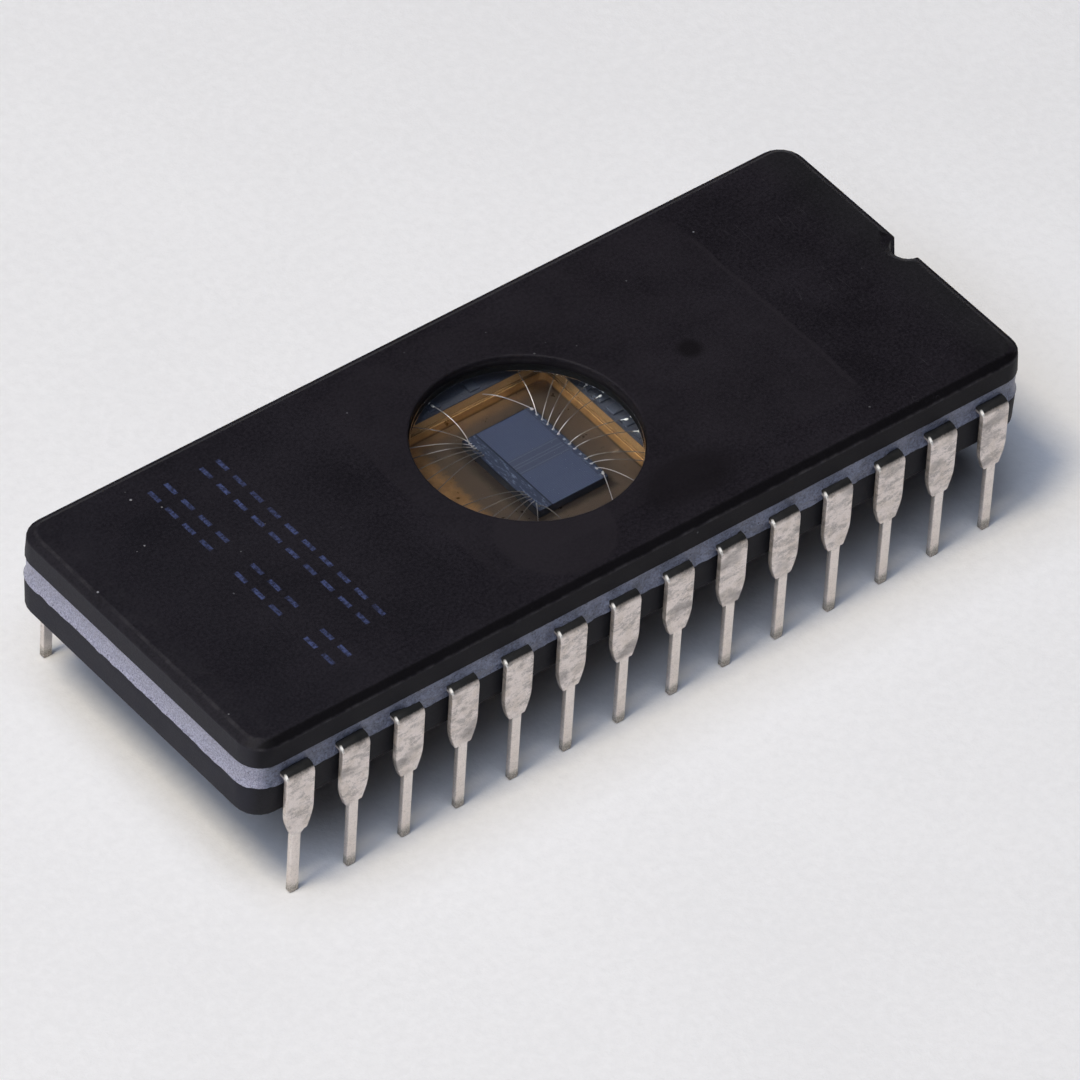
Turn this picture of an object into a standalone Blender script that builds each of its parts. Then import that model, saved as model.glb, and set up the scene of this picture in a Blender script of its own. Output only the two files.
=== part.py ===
"""Windowed ceramic dual in-line integrated circuit with 28 leads.

Two pressed ceramic halves are fused together by a bed of sealing glass that also grips the lead
frame. A glass window in the cap shows the silicon die in its gold-lined cavity and the bond wires
that join it to the inner ends of the leads.

Frame: origin under the middle of the part at the height of the lead tips, +X along the body
towards the notch at the pin 1 end, +Y towards the row of pins 1 to 14, +Z up. Units are metres.
"""
import math

import bmesh
import bpy
from mathutils import Matrix, Vector

MM = 0.001

# Lead frame
LEADS_PER_ROW = 14
LEAD_PITCH = 2.54 * MM
ROW_SPACING = 15.24 * MM          # between the middles of the two rows of leads
LEAD_THICKNESS = 0.25 * MM
LEAD_WIDTH = 1.27 * MM            # wide upper part of the leg
STEM_WIDTH = 0.42 * MM            # narrow part that enters the board
STEM_LENGTH = 3.30 * MM           # tip to shoulder
TIP_CHAMFER = 0.07 * MM
SHOULDER_WIDTH = 0.74 * MM
SHOULDER_TAPER = 1.10 * MM        # height over which the wide part draws in to the shoulder
TAPER_STEPS = 4
BEND_RADIUS = 0.10 * MM           # inner radius of the bend from leg to finger
BEND_STEPS = 4
ROOT_DEPTH = 0.90 * MM            # how far the full width runs inside the body
ROOT_TAPER = 0.50 * MM
FINGER_WIDTH = 0.50 * MM          # inner end of the lead, under its bond
FINGER_MITRE = 0.90 * MM          # slanted run where a finger turns towards the cavity
FINGER_SETBACK = 0.25 * MM        # from the cavity's edge to the finger's end
END_FINGER_PITCH = 0.80 * MM      # fingers along the two ends of the cavity
SIDE_FINGER_PITCH = 1.90 * MM     # fingers along its two sides
SIDE_FINGERS = 4                  # on each side of the cavity, the rest go to its ends

# The lead nearest the corner is slightly joggled under its shoulder
JOGGLED_PIN = 15
JOGGLE_DEPTH = 0.15 * MM
JOGGLE_HEIGHT = 0.40 * MM
JOGGLE_STEPS = 4

# Ceramic halves and the glass between them
END_MARGIN = 1.905 * MM           # end lead's middle to the body's end
SIDE_GAP = 0.165 * MM             # body's side to the inner face of the leads
STAND_OFF = 1.00 * MM             # lead shoulder to the underside
BASE_HEIGHT = 1.56 * MM
GLASS_HEIGHT = 0.98 * MM
CAP_HEIGHT = 1.15 * MM
CORNER_RADIUS = 1.10 * MM
CORNER_STEPS = 6
BASE_EDGE = 0.12 * MM             # break along the underside
SIDE_DRAFT = 0.05 * MM            # each half is drawn in a little away from the glass
CAP_BEVEL_WIDTH = 0.40 * MM
CAP_BEVEL_HEIGHT = 0.23 * MM
NOTCH_RADIUS = 0.64 * MM
NOTCH_STEPS = 10
GLASS_FOOT_INSET = 0.05 * MM      # the glass wets the edge of the base
GLASS_WAIST_INSET = 0.20 * MM
GLASS_TOP_INSET = 0.10 * MM
GLASS_UNDER_LEADS = 0.26 * MM     # base to the underside of the lead frame

# Cavity, ledge and window
CAVITY_LENGTH = 8.10 * MM
CAVITY_WIDTH = 8.00 * MM
CAVITY_DEPTH = 0.50 * MM
CAVITY_CORNER = 0.35 * MM
GLASS_SETBACK = 0.10 * MM         # from the cavity's edge to the glass under the fingers
SHELF_WIDTH = 1.00 * MM           # from the cavity's edge to the glass over the fingers
SHELF_CORNER = 0.80 * MM
SHELF_DROP = 0.07 * MM            # the fingers stand this proud of the shelf
WINDOW_DIAMETER = 8.90 * MM
WINDOW_THICKNESS = 0.65 * MM
WINDOW_RECESS = 0.40 * MM
WINDOW_EDGE = 0.05 * MM
HOLE_EDGE = 0.06 * MM             # break round the top of the window's hole
ROUND_STEPS = 64

# Chip
GOLD_THICKNESS = 0.05 * MM
DIE_LENGTH = 3.30 * MM
DIE_WIDTH = 4.65 * MM
DIE_THICKNESS = 0.38 * MM
DIE_OFFSET_X = 0.79 * MM          # from the middle of the cavity
DIE_OFFSET_Y = 0.43 * MM
PAD_INSET = 0.12 * MM             # first bonds in from the die's edge
PAD_MARGIN = 0.20 * MM            # end pads in from the die's corners
CORNER_RUN = 0.90 * MM            # run of pads at each corner of the die's -X edge
WIRE_DIAMETER = 0.05 * MM
WIRE_ARCH = 0.25 * MM
WIRE_STEPS = 7
BOND_SETBACK = 0.18 * MM          # second bonds back from the fingers' ends
UNBONDED_PINS = (26, 1)

CLEARANCE = 0.02 * MM             # between pieces that seat on or pass through each other
OVERCUT = 1.00 * MM               # how far a cutter runs past a face
MERGE = 0.0001 * MM

# Places worked out from the sizes above
BODY_LENGTH = (LEADS_PER_ROW - 1) * LEAD_PITCH + 2 * END_MARGIN
BODY_WIDTH = ROW_SPACING - LEAD_THICKNESS - 2 * SIDE_GAP
BASE_BOTTOM = STEM_LENGTH + STAND_OFF
BASE_TOP = BASE_BOTTOM + BASE_HEIGHT
CAP_BOTTOM = BASE_TOP + GLASS_HEIGHT
CAP_TOP = CAP_BOTTOM + CAP_HEIGHT
LEAD_MIDDLE = BASE_TOP + GLASS_UNDER_LEADS + LEAD_THICKNESS / 2
LEAD_TOP = LEAD_MIDDLE + LEAD_THICKNESS / 2
SHELF_TOP = LEAD_TOP - SHELF_DROP
WINDOW_TOP = CAP_TOP - WINDOW_RECESS
CAVITY_FLOOR = BASE_TOP - CAVITY_DEPTH
GOLD_FLOOR = CAVITY_FLOOR + CLEARANCE + GOLD_THICKNESS
DIE_BOTTOM = GOLD_FLOOR + CLEARANCE
DIE_TOP = DIE_BOTTOM + DIE_THICKNESS

BEND_NEUTRAL = BEND_RADIUS + LEAD_THICKNESS / 2
BEND_LENGTH = BEND_NEUTRAL * math.pi / 2
BEND_START = ROW_SPACING / 2 - BEND_NEUTRAL
BEND_FOOT = LEAD_MIDDLE - BEND_NEUTRAL            # height where the leg becomes straight
BLANK_END = BEND_START + BEND_LENGTH + BEND_FOOT  # the tip's place before bending
TIP_X = CAVITY_LENGTH / 2 + FINGER_SETBACK
TIP_Y = CAVITY_WIDTH / 2 + FINGER_SETBACK


def clear_scene():
    for item in list(bpy.data.objects):
        bpy.data.objects.remove(item, do_unlink=True)


def new_collection(name):
    collection = bpy.data.collections.new(name)
    bpy.context.scene.collection.children.link(collection)
    return collection


def make_material(name, color, roughness, metallic=0.0, transmission=0.0):
    material = bpy.data.materials.new(name)
    material.use_nodes = True
    shader = material.node_tree.nodes["Principled BSDF"]
    shader.inputs["Base Color"].default_value = (*color, 1.0)
    shader.inputs["Roughness"].default_value = roughness
    shader.inputs["Metallic"].default_value = metallic
    shader.inputs["Transmission Weight"].default_value = transmission
    material.diffuse_color = (*color, 1.0)
    return material


def add_object(name, mesh, collection, material=None):
    part = bpy.data.objects.new(name, mesh)
    collection.objects.link(part)
    if material is not None and not mesh.materials:
        mesh.materials.append(material)
    return part


def as_cutter(part):
    part.hide_render = True
    part.display_type = "WIRE"
    return part


def cut(part, cutter):
    modifier = part.modifiers.new("cut " + cutter.name, "BOOLEAN")
    modifier.operation = "DIFFERENCE"
    modifier.object = cutter


def outline_curve(name, loop, half_thickness):
    """A flat closed outline, filled on both sides and given its thickness."""
    curve = bpy.data.curves.new(name, "CURVE")
    curve.dimensions = "2D"
    curve.fill_mode = "BOTH"
    curve.extrude = half_thickness
    spline = curve.splines.new("POLY")
    spline.points.add(len(loop) - 1)
    for point, (x, y) in zip(spline.points, loop):
        point.co = (x, y, 0.0, 1.0)
    spline.use_cyclic_u = True
    return curve


def curve_to_mesh(curve, name, matrix=None):
    """The curve as a closed mesh with its caps welded on; the curve is removed."""
    guide = bpy.data.objects.new(name + " guide", curve)
    bpy.context.scene.collection.objects.link(guide)
    if matrix is not None:
        guide.matrix_world = matrix
    bpy.context.view_layer.update()
    evaluated = guide.evaluated_get(bpy.context.evaluated_depsgraph_get())
    mesh = bpy.data.meshes.new_from_object(evaluated)
    mesh.transform(guide.matrix_world)
    mesh.name = name
    bpy.data.objects.remove(guide, do_unlink=True)
    bpy.data.curves.remove(curve)
    bm = bmesh.new()
    bm.from_mesh(mesh)
    bmesh.ops.remove_doubles(bm, verts=bm.verts, dist=MERGE)
    bmesh.ops.recalc_face_normals(bm, faces=bm.faces)
    bm.to_mesh(mesh)
    bm.free()
    return mesh


def arc(center_x, center_y, radius, start, end, steps):
    """Points on a round stretch, with both ends; angles in degrees."""
    angles = [math.radians(start + (end - start) * step / steps) for step in range(steps + 1)]
    return [(center_x + radius * math.cos(a), center_y + radius * math.sin(a)) for a in angles]


def rounded_rectangle(length, width, radius):
    """Outline round the origin, anticlockwise, starting on the +X side."""
    x, y = length / 2 - radius, width / 2 - radius
    loop = []
    for center_x, center_y, start in ((x, y, 0), (-x, y, 90), (-x, -y, 180), (x, -y, 270)):
        loop += arc(center_x, center_y, radius, start, start + 90, CORNER_STEPS)
    return loop


def body_outline(inset):
    """The body's outline drawn in by inset, with the half-round notch in its +X end."""
    loop = rounded_rectangle(BODY_LENGTH - 2 * inset, BODY_WIDTH - 2 * inset, CORNER_RADIUS - inset)
    radius = NOTCH_RADIUS + inset
    mouth = math.degrees(math.acos(-inset / radius))
    return loop + arc(BODY_LENGTH / 2, 0.0, radius, 360 - mouth, mouth, NOTCH_STEPS)


def body_loft(name, levels):
    """A closed solid through the body's outline at each (height, inset), from the bottom up."""
    bm = bmesh.new()
    rings = []
    for height, inset in levels:
        verts = [bm.verts.new((x, y, height)) for x, y in body_outline(inset)]
        edges = [bm.edges.new((a, b)) for a, b in zip(verts, verts[1:] + verts[:1])]
        rings.append(edges)
    for lower, upper in zip(rings, rings[1:]):
        bmesh.ops.bridge_loops(bm, edges=lower + upper)
    for ring in (rings[0], rings[-1]):
        bmesh.ops.contextual_create(bm, geom=ring)
    bmesh.ops.recalc_face_normals(bm, faces=bm.faces)
    mesh = bpy.data.meshes.new(name)
    bm.to_mesh(mesh)
    bm.free()
    return mesh


def rounded_block(name, length, width, radius, bottom, top):
    loop = rounded_rectangle(length, width, radius)
    curve = outline_curve(name, loop, (top - bottom) / 2)
    return curve_to_mesh(curve, name, Matrix.Translation((0.0, 0.0, (bottom + top) / 2)))


def offset_line(points, half_widths, side):
    """The line moved sideways by its half widths, mitred at its turns."""
    moved = []
    for i, (point, half_width) in enumerate(zip(points, half_widths)):
        before = points[max(i - 1, 0)]
        after = points[min(i + 1, len(points) - 1)]
        into = (point - before).normalized() if i > 0 else (after - point).normalized()
        out = (after - point).normalized() if i < len(points) - 1 else into
        normal = (Vector((-into.y, into.x)) + Vector((-out.y, out.x))).normalized()
        reach = half_width / normal.dot(Vector((-into.y, into.x)))
        moved.append(tuple(point + side * reach * normal))
    return moved


def finger_route(index):
    """Middle line of a lead inside the body, from its root to its end by the cavity."""
    from_middle = index - (LEADS_PER_ROW - 1) / 2
    x = from_middle * LEAD_PITCH
    side = math.copysign(1.0, from_middle)
    root = BODY_WIDTH / 2 - ROOT_DEPTH
    start = [Vector((x, BEND_START)), Vector((x, root)), Vector((x, root - ROOT_TAPER))]
    if abs(from_middle) < SIDE_FINGERS / 2:
        tip = from_middle * SIDE_FINGER_PITCH
        return start + [Vector((tip, TIP_Y + FINGER_MITRE)), Vector((tip, TIP_Y))]
    rows_in = (LEADS_PER_ROW - 1) / 2 - abs(from_middle)
    y = (rows_in + 0.5) * END_FINGER_PITCH
    turn = [Vector((x, y + FINGER_MITRE)), Vector((x - side * FINGER_MITRE, y))]
    return start + turn + [Vector((side * TIP_X, y))]


def leg_profile():
    """Distance up from the tip and half width there, from the tip to the full width."""
    profile = [(0.0, STEM_WIDTH / 2 - TIP_CHAMFER), (TIP_CHAMFER, STEM_WIDTH / 2)]
    profile += [(STEM_LENGTH, STEM_WIDTH / 2)]
    for step in range(TAPER_STEPS + 1):
        share = 1.0 - step / TAPER_STEPS
        bulge = (LEAD_WIDTH - SHOULDER_WIDTH) / 2 * math.cos(share * math.pi / 2)
        height = STEM_LENGTH + SHOULDER_TAPER * (1.0 - share)
        profile.append((height, SHOULDER_WIDTH / 2 + bulge))
    return profile


def lead_outline(index, grow):
    """The flat blank of one lead of the +Y row, with its leg laid out along +Y."""
    route = finger_route(index)
    widths = [LEAD_WIDTH, LEAD_WIDTH] + [FINGER_WIDTH] * (len(route) - 2)
    half_widths = [width / 2 + grow for width in widths]
    end = route[-1] + (route[-1] - route[-2]).normalized() * grow
    route = route[:-1] + [end]
    x = route[0].x
    leg = [(BLANK_END - up, half + grow) for up, half in leg_profile()]
    right = [(x + half, y) for y, half in leg]
    left = [(x - half, y) for y, half in leg]
    right += offset_line(route, half_widths, 1.0)
    left += offset_line(route, half_widths, -1.0)
    return right + left[::-1]


def bend_blank(mesh):
    """Folds the leg down about the bend line, as the forming tool does."""
    bm = bmesh.new()
    bm.from_mesh(mesh)
    for step in range(BEND_STEPS + 1):
        line = BEND_START + BEND_LENGTH * step / BEND_STEPS
        everything = bm.verts[:] + bm.edges[:] + bm.faces[:]
        bmesh.ops.bisect_plane(bm, geom=everything, plane_co=(0, line, 0), plane_no=(0, 1, 0))
    for vert in bm.verts:
        past = vert.co.y - BEND_START
        if past <= 0.0:
            continue
        angle = min(past, BEND_LENGTH) / BEND_NEUTRAL
        drop = max(past - BEND_LENGTH, 0.0)
        reach = BEND_NEUTRAL + vert.co.z - LEAD_MIDDLE
        vert.co.y = BEND_START + reach * math.sin(angle)
        vert.co.z = BEND_FOOT + reach * math.cos(angle) - drop
    bm.to_mesh(mesh)
    bm.free()


def joggle_stem(mesh):
    """Pushes the stem inwards under its shoulder by a smooth step."""
    bm = bmesh.new()
    bm.from_mesh(mesh)
    for step in range(JOGGLE_STEPS + 1):
        height = STEM_LENGTH - JOGGLE_HEIGHT * step / JOGGLE_STEPS
        everything = bm.verts[:] + bm.edges[:] + bm.faces[:]
        bmesh.ops.bisect_plane(bm, geom=everything, plane_co=(0, 0, height), plane_no=(0, 0, 1))
    for vert in bm.verts:
        share = min(max((STEM_LENGTH - vert.co.z) / JOGGLE_HEIGHT, 0.0), 1.0)
        vert.co.y -= JOGGLE_DEPTH * share * share * (3.0 - 2.0 * share)
    bm.to_mesh(mesh)
    bm.free()


def lead_mesh(name, index, grow=0.0):
    curve = outline_curve(name, lead_outline(index, grow), LEAD_THICKNESS / 2 + grow)
    mesh = curve_to_mesh(curve, name, Matrix.Translation((0.0, 0.0, LEAD_MIDDLE)))
    bend_blank(mesh)
    return mesh


def make_base(parts, cutters, ceramic):
    levels = [
        (BASE_BOTTOM, SIDE_DRAFT + BASE_EDGE),
        (BASE_BOTTOM + BASE_EDGE, SIDE_DRAFT),
        (BASE_TOP, 0.0),
    ]
    base = add_object("ceramic_base", body_loft("ceramic_base", levels), parts, ceramic)
    pocket = rounded_block("cavity pocket", CAVITY_LENGTH, CAVITY_WIDTH, CAVITY_CORNER,
                           CAVITY_FLOOR, BASE_TOP + OVERCUT)
    cut(base, as_cutter(add_object("cavity pocket", pocket, cutters)))


def hole_cutter(cutters):
    """Turned cutter for the window's hole, with a small break at its top edge."""
    radius = WINDOW_DIAMETER / 2
    profile = [
        (0.0, CAP_TOP + OVERCUT),
        (radius + HOLE_EDGE, CAP_TOP + OVERCUT),
        (radius + HOLE_EDGE, CAP_TOP),
        (radius, CAP_TOP - HOLE_EDGE),
        (radius, CAP_BOTTOM - OVERCUT),
        (0.0, CAP_BOTTOM - OVERCUT),
    ]
    mesh = bpy.data.meshes.new("window hole")
    verts = [(x, 0.0, z) for x, z in profile]
    mesh.from_pydata(verts, [(i, i + 1) for i in range(len(verts) - 1)], [])
    cutter = as_cutter(add_object("window hole", mesh, cutters))
    screw = cutter.modifiers.new("turn", "SCREW")
    screw.steps = ROUND_STEPS
    screw.render_steps = ROUND_STEPS
    screw.use_merge_vertices = True
    screw.merge_threshold = MERGE
    return cutter


def make_cap(parts, cutters, ceramic):
    levels = [
        (CAP_BOTTOM, 0.0),
        (CAP_TOP - CAP_BEVEL_HEIGHT, SIDE_DRAFT),
        (CAP_TOP, SIDE_DRAFT + CAP_BEVEL_WIDTH),
    ]
    cap = add_object("ceramic_cap", body_loft("ceramic_cap", levels), parts, ceramic)
    cut(cap, hole_cutter(cutters))


def make_window(parts, glass):
    radius = WINDOW_DIAMETER / 2 - CLEARANCE
    bpy.ops.mesh.primitive_cylinder_add(
        vertices=ROUND_STEPS, radius=radius, depth=WINDOW_THICKNESS,
        location=(0.0, 0.0, WINDOW_TOP - WINDOW_THICKNESS / 2))
    window = bpy.context.active_object
    window.name = "window_lens"
    window.data.name = "window_lens"
    window.data.materials.append(glass)
    for collection in list(window.users_collection):
        collection.objects.unlink(window)
    parts.objects.link(window)
    bevel = window.modifiers.new("edge", "BEVEL")
    bevel.width = WINDOW_EDGE
    bevel.segments = 2
    bevel.limit_method = "ANGLE"
    window.data.shade_smooth()
    window.data.set_sharp_from_angle(angle=math.radians(40))


def make_sealing_glass(parts, cutters, frit):
    """Glass bed with a waisted side, channels for the leads and a ledge round the cavity."""
    bottom, top = BASE_TOP + CLEARANCE, CAP_BOTTOM - CLEARANCE
    levels = [
        (bottom, GLASS_FOOT_INSET),
        (bottom + (top - bottom) * 0.25, GLASS_FOOT_INSET * 0.5 + GLASS_WAIST_INSET * 0.5),
        ((bottom + top) / 2, GLASS_WAIST_INSET),
        (top, GLASS_TOP_INSET),
    ]
    glass = add_object("sealing_glass", body_loft("sealing_glass", levels), parts, frit)
    opening = rounded_block("glass opening",
                            CAVITY_LENGTH + 2 * GLASS_SETBACK, CAVITY_WIDTH + 2 * GLASS_SETBACK,
                            CAVITY_CORNER, BASE_TOP - OVERCUT, CAP_BOTTOM + OVERCUT)
    cut(glass, as_cutter(add_object("glass opening", opening, cutters)))
    shelf = rounded_block("ledge opening",
                          CAVITY_LENGTH + 2 * SHELF_WIDTH, CAVITY_WIDTH + 2 * SHELF_WIDTH,
                          SHELF_CORNER, SHELF_TOP, CAP_BOTTOM + OVERCUT)
    cut(glass, as_cutter(add_object("ledge opening", shelf, cutters)))
    channels = new_collection("lead channels")
    for index in range(LEADS_PER_ROW):
        mesh = lead_mesh(f"channel {index + 1}", index, CLEARANCE)
        for turned in (False, True):
            name = f"channel {index + 1}" + (" turned" if turned else "")
            channel = as_cutter(add_object(name, mesh, channels))
            channel.rotation_euler.z = math.pi if turned else 0.0
    modifier = glass.modifiers.new("lead channels", "BOOLEAN")
    modifier.operation = "DIFFERENCE"
    modifier.operand_type = "COLLECTION"
    modifier.collection = channels


def make_leads(parts, tin):
    """Pins 1 to 14 along +Y; pins 15 to 28 are the same leads turned half round."""
    for index in range(LEADS_PER_ROW):
        first = LEADS_PER_ROW - index
        shared = lead_mesh(f"lead_{first:02d}", index)
        for pin, angle in ((first, 0.0), (first + LEADS_PER_ROW, math.pi)):
            mesh = shared
            if pin == JOGGLED_PIN:
                mesh = shared.copy()
                joggle_stem(mesh)
            lead = add_object(f"lead_{pin:02d}", mesh, parts, tin)
            lead.rotation_euler.z = angle


def make_chip(parts, cutters, gold, silicon):
    outer_length, outer_width = CAVITY_LENGTH - 2 * CLEARANCE, CAVITY_WIDTH - 2 * CLEARANCE
    lining = rounded_block("gold_cavity_lining", outer_length, outer_width,
                           CAVITY_CORNER - CLEARANCE, CAVITY_FLOOR + CLEARANCE, BASE_TOP)
    tray = add_object("gold_cavity_lining", lining, parts, gold)
    hollow = rounded_block("lining hollow", outer_length - 2 * GOLD_THICKNESS,
                           outer_width - 2 * GOLD_THICKNESS,
                           CAVITY_CORNER - CLEARANCE - GOLD_THICKNESS, GOLD_FLOOR,
                           BASE_TOP + OVERCUT)
    cut(tray, as_cutter(add_object("lining hollow", hollow, cutters)))
    bpy.ops.mesh.primitive_cube_add(
        size=1.0, location=(DIE_OFFSET_X, DIE_OFFSET_Y, (DIE_BOTTOM + DIE_TOP) / 2))
    die = bpy.context.active_object
    die.name = "silicon_die"
    die.data.name = "silicon_die"
    die.data.transform(Matrix.Diagonal((DIE_LENGTH, DIE_WIDTH, DIE_THICKNESS, 1.0)))
    die.data.materials.append(silicon)
    for collection in list(die.users_collection):
        collection.objects.unlink(die)
    parts.objects.link(die)


def bonded_fingers(side):
    """(pin, second bond) for the fingers at one end, from the -Y side round to the +Y side."""
    found = []
    for index in range(LEADS_PER_ROW):
        route = finger_route(index)
        back = (route[-2] - route[-1]).normalized() * BOND_SETBACK
        bond = route[-1] + back
        pin = LEADS_PER_ROW - index
        for number, place in ((pin, bond), (pin + LEADS_PER_ROW, -bond)):
            if place.x * side > 0.0:
                found.append((number, place))
    return sorted(found, key=lambda item: math.atan2(item[1].y, abs(item[1].x)))


def pad_offset(side, place, count):
    """A pad's distance along the die's edge: in step on the +X edge, at the corners on the other."""
    reach = DIE_WIDTH / 2 - PAD_MARGIN
    if side > 0.0:
        return 2 * reach * place / (count - 1) - reach
    step = CORNER_RUN / (count // 2 - 1)
    if place < count // 2:
        return step * place - reach
    return reach - step * (count - 1 - place)


def make_bond_wires(parts, aluminium):
    """One arched wire from a pad on the die's edge to each bonded finger."""
    radius = WIRE_DIAMETER / 2
    for side in (1.0, -1.0):
        fingers = bonded_fingers(side)
        pad_x = DIE_OFFSET_X + side * (DIE_LENGTH / 2 - PAD_INSET)
        for place, (pin, bond) in enumerate(fingers):
            if pin in UNBONDED_PINS:
                continue
            pad_y = DIE_OFFSET_Y + pad_offset(side, place, len(fingers))
            start = Vector((pad_x, pad_y, DIE_TOP + CLEARANCE + radius))
            end = Vector((bond.x, bond.y, LEAD_TOP + CLEARANCE + radius))
            curve = bpy.data.curves.new(f"bond_wire_{pin:02d}", "CURVE")
            curve.dimensions = "3D"
            curve.bevel_depth = radius
            curve.bevel_resolution = 1
            curve.use_fill_caps = True
            spline = curve.splines.new("POLY")
            spline.points.add(WIRE_STEPS)
            for step, point in enumerate(spline.points):
                share = step / WIRE_STEPS
                middle = start.lerp(end, share)
                middle.z += WIRE_ARCH * 4.0 * share * (1.0 - share)
                point.co = (*middle, 1.0)
            mesh = curve_to_mesh(curve, f"bond_wire_{pin:02d}")
            mesh.shade_smooth()
            add_object(f"bond_wire_{pin:02d}", mesh, parts, aluminium)


def main():
    clear_scene()
    parts = new_collection("windowed integrated circuit")
    cutters = new_collection("cutters")
    ceramic = make_material("dark ceramic", (0.018, 0.015, 0.019), 0.55)
    frit = make_material("sealing glass", (0.22, 0.23, 0.27), 0.35)
    lens = make_material("window glass", (0.92, 0.95, 0.95), 0.03, transmission=1.0)
    tin = make_material("tinned lead", (0.62, 0.60, 0.56), 0.38, metallic=1.0)
    gold = make_material("gold", (0.72, 0.42, 0.16), 0.35, metallic=1.0)
    silicon = make_material("silicon", (0.26, 0.31, 0.42), 0.25, metallic=0.3)
    aluminium = make_material("aluminium wire", (0.85, 0.86, 0.88), 0.25, metallic=1.0)
    make_base(parts, cutters, ceramic)
    make_cap(parts, cutters, ceramic)
    make_window(parts, lens)
    make_sealing_glass(parts, cutters, frit)
    make_leads(parts, tin)
    make_chip(parts, cutters, gold, silicon)
    make_bond_wires(parts, aluminium)


main()
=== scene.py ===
import math

import bmesh
import bpy
from mathutils import Matrix, Vector, noise


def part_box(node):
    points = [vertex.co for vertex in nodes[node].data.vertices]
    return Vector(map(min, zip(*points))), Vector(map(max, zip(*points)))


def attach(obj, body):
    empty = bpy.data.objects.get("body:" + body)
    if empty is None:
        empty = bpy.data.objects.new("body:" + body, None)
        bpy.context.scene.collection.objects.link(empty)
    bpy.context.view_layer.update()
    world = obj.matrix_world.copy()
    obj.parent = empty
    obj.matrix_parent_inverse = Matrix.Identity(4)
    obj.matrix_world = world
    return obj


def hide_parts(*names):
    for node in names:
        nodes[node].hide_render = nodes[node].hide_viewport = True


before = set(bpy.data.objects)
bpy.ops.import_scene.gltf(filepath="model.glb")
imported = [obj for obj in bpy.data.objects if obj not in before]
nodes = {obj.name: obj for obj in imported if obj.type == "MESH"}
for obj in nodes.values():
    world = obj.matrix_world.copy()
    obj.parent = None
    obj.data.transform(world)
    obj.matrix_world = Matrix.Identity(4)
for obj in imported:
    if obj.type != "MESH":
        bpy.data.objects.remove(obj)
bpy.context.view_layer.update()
mm = 0.001


def spanOf(nodeName):        # lowest and highest corner, in millimetres
    low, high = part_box(nodeName)
    return low / mm, high / mm


capLow, capHigh = spanOf("ceramic_cap")
baseHigh = spanOf("ceramic_base")[1]
dieLow, dieHigh = spanOf("silicon_die")
leadPins = range(1, 29)
leadPitch = 2.54
print("frame loaded:", len(nodes), "nodes")


# Small tools for node trees

def addNode(tree, kind, inputs=None, **settings):
    made = tree.nodes.new("ShaderNode" + kind)
    for key, value in settings.items():
        setattr(made, key, value)
    for key, value in (inputs or {}).items():
        if isinstance(value, bpy.types.NodeSocket):
            tree.links.new(value, made.inputs[key])
        else:
            made.inputs[key].default_value = value
    return made


def newMaterial(name, roughness, metallic=0.0, specular=0.5):
    material = bpy.data.materials.new(name)
    material.use_nodes = True
    tree = material.node_tree
    shader = tree.nodes["Principled BSDF"]
    shader.inputs["Roughness"].default_value = roughness
    shader.inputs["Metallic"].default_value = metallic
    shader.inputs["Specular IOR Level"].default_value = specular
    return material, tree, shader


def places(tree, stretch=(1, 1, 1)):      # object coordinates in millimetres
    found = addNode(tree, "TexCoord").outputs["Object"]
    scale = tuple(axis / mm for axis in stretch)
    return addNode(tree, "Mapping", {"Vector": found, "Scale": scale}).outputs["Vector"]


def grain(tree, where, scale, detail=3.0, roughness=0.55):
    inputs = {"Vector": where, "Scale": scale, "Detail": detail, "Roughness": roughness}
    return addNode(tree, "TexNoise", inputs).outputs["Fac"]


def cells(tree, where, scale):
    inputs = {"Vector": where, "Scale": scale}
    return addNode(tree, "TexVoronoi", inputs).outputs


def remap(tree, value, low, high, toLow=0.0, toHigh=1.0):
    inputs = {"Value": value, "From Min": low, "From Max": high, "To Min": toLow, "To Max": toHigh}
    return addNode(tree, "MapRange", inputs, interpolation_type="SMOOTHSTEP").outputs["Result"]


def calc(tree, operation, a, b=0.0):
    return addNode(tree, "Math", {0: a, 1: b}, operation=operation).outputs[0]


def product(tree, *values):
    total = values[0]
    for value in values[1:]:
        total = calc(tree, "MULTIPLY", total, value)
    return total


def between(tree, value, low, high, soft):          # one inside the range, with soft ends
    rise = remap(tree, value, low - soft, low + soft)
    fall = remap(tree, value, high - soft, high + soft, 1.0, 0.0)
    return product(tree, rise, fall)


def nearBy(tree, where, spot, low, high):           # one at a place, fading out with distance
    apart = addNode(tree, "VectorMath", {0: where, 1: spot}, operation="DISTANCE")
    return remap(tree, apart.outputs["Value"], low, high, 1.0, 0.0)


def blend(tree, share, first, second):              # from the first colour to the second
    mixer = addNode(tree, "Mix", {"Factor": share}, data_type="RGBA")
    for socket, value in ((mixer.inputs[6], first), (mixer.inputs[7], second)):
        if isinstance(value, bpy.types.NodeSocket):
            tree.links.new(value, socket)
        else:
            socket.default_value = (*value, 1.0)
    return mixer.outputs[2]


def axesOf(tree, where):
    return addNode(tree, "SeparateXYZ", {"Vector": where}).outputs


def relief(tree, shader, height, depth):            # depth in millimetres
    inputs = {"Height": height, "Distance": depth * mm, "Strength": 1.0}
    bump = addNode(tree, "Bump", inputs)
    tree.links.new(bump.outputs["Normal"], shader.inputs["Normal"])


# Materials

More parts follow.
